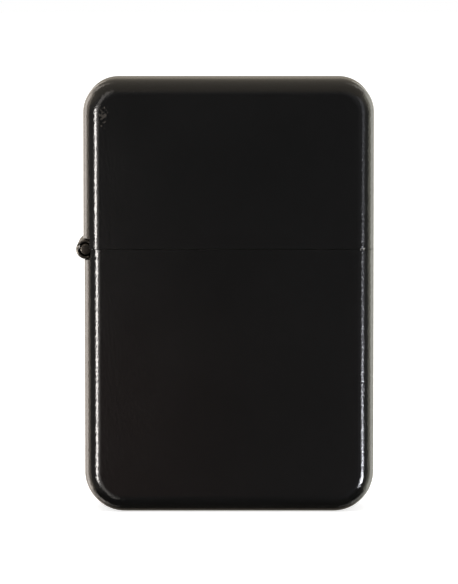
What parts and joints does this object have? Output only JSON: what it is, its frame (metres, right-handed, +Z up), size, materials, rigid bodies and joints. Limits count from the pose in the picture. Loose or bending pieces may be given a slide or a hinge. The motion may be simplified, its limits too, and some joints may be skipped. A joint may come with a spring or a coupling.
{
  "type": "flip-top lighter",
  "caption": "Closed black flip-top windproof petrol lighter: enamelled case and hinged lid over an insert with chimney, toothed striker wheel, cam lever, flint column, wick and cotton.",
  "frame": {"origin": "middle of the flat base of the case", "axes": "+Z up through the lid, +Y towards the back face, +X away from the hinge side"},
  "size_m": [0.0392, 0.0126, 0.0571],
  "materials": {
    "enamel": "black baked crackle enamel, semi-gloss",
    "hinge_steel": "blackened",
    "pin_steel": "bright, drawn",
    "insert_steel": "satin",
    "wheel_steel": "file cut and hardened",
    "spring_steel": "tempered",
    "brass": "turned",
    "flint_alloy": "dull",
    "wick_cotton": "braided",
    "cotton": "loose fibre",
    "felt": "pressed felt"
  },
  "bodies": {
    "case": {"case_bottom": "enamel", "hinge_leaf_lower": "hinge_steel", "hinge_pin": "hinge_steel"},
    "lid": {"case_lid": "enamel", "hinge_leaf_upper": "hinge_steel"},
    "insert": {"insert_tank": "insert_steel", "insert_top_plate": "insert_steel", "chimney": "insert_steel", "wheel_rivet": "pin_steel", "cam_rivet": "pin_steel", "cam_spring": "spring_steel", "flint_tube": "brass", "flint_spring": "spring_steel", "wick": "wick_cotton", "cotton_pad_1": "cotton", "cotton_pad_2": "cotton", "cotton_pad_3": "cotton", "cotton_pad_4": "cotton", "cotton_pad_5": "cotton", "felt_pad": "felt"},
    "cam": {"cam_lever": "spring_steel"},
    "wheel": {"striker_wheel": "wheel_steel"},
    "flint_stack": {"flint": "flint_alloy", "flint_spring_tip": "brass"},
    "screw": {"flint_screw": "brass"}
  },
  "joints": [
    {"name": "lid_hinge", "type": "hinge", "parent": "case", "child": "lid", "pos_m": [-0.01885, 0, 0.0347], "axis": [0, -1, 0], "range_deg": [0, 125]},
    {"name": "insert_slide", "type": "slide", "parent": "case", "child": "insert", "axis": [0, 0, 1], "range_m": [0, 0.004]},
    {"name": "cam_rock", "type": "hinge", "parent": "insert", "child": "cam", "pos_m": [-0.013, 0, 0.0394], "axis": [0, 1, 0], "range_deg": [0, 12], "stiffness_Nm_per_rad": 0.002},
    {"name": "wheel_spin", "type": "hinge", "parent": "insert", "child": "wheel", "pos_m": [0.0105, 0, 0.0421], "axis": [0, 1, 0], "continuous": true},
    {"name": "flint_feed", "type": "slide", "parent": "insert", "child": "flint_stack", "axis": [0, 0, 1], "range_m": [-0.0015, 0], "stiffness_N_per_m": 150, "springref_m": 0.008, "deforming": ["flint_spring"]},
    {"name": "flint_screw_turn", "type": "hinge", "parent": "insert", "child": "screw", "pos_m": [0.0105, 0, 0.0013], "axis": [0, 0, 1], "continuous": true}
  ]
}
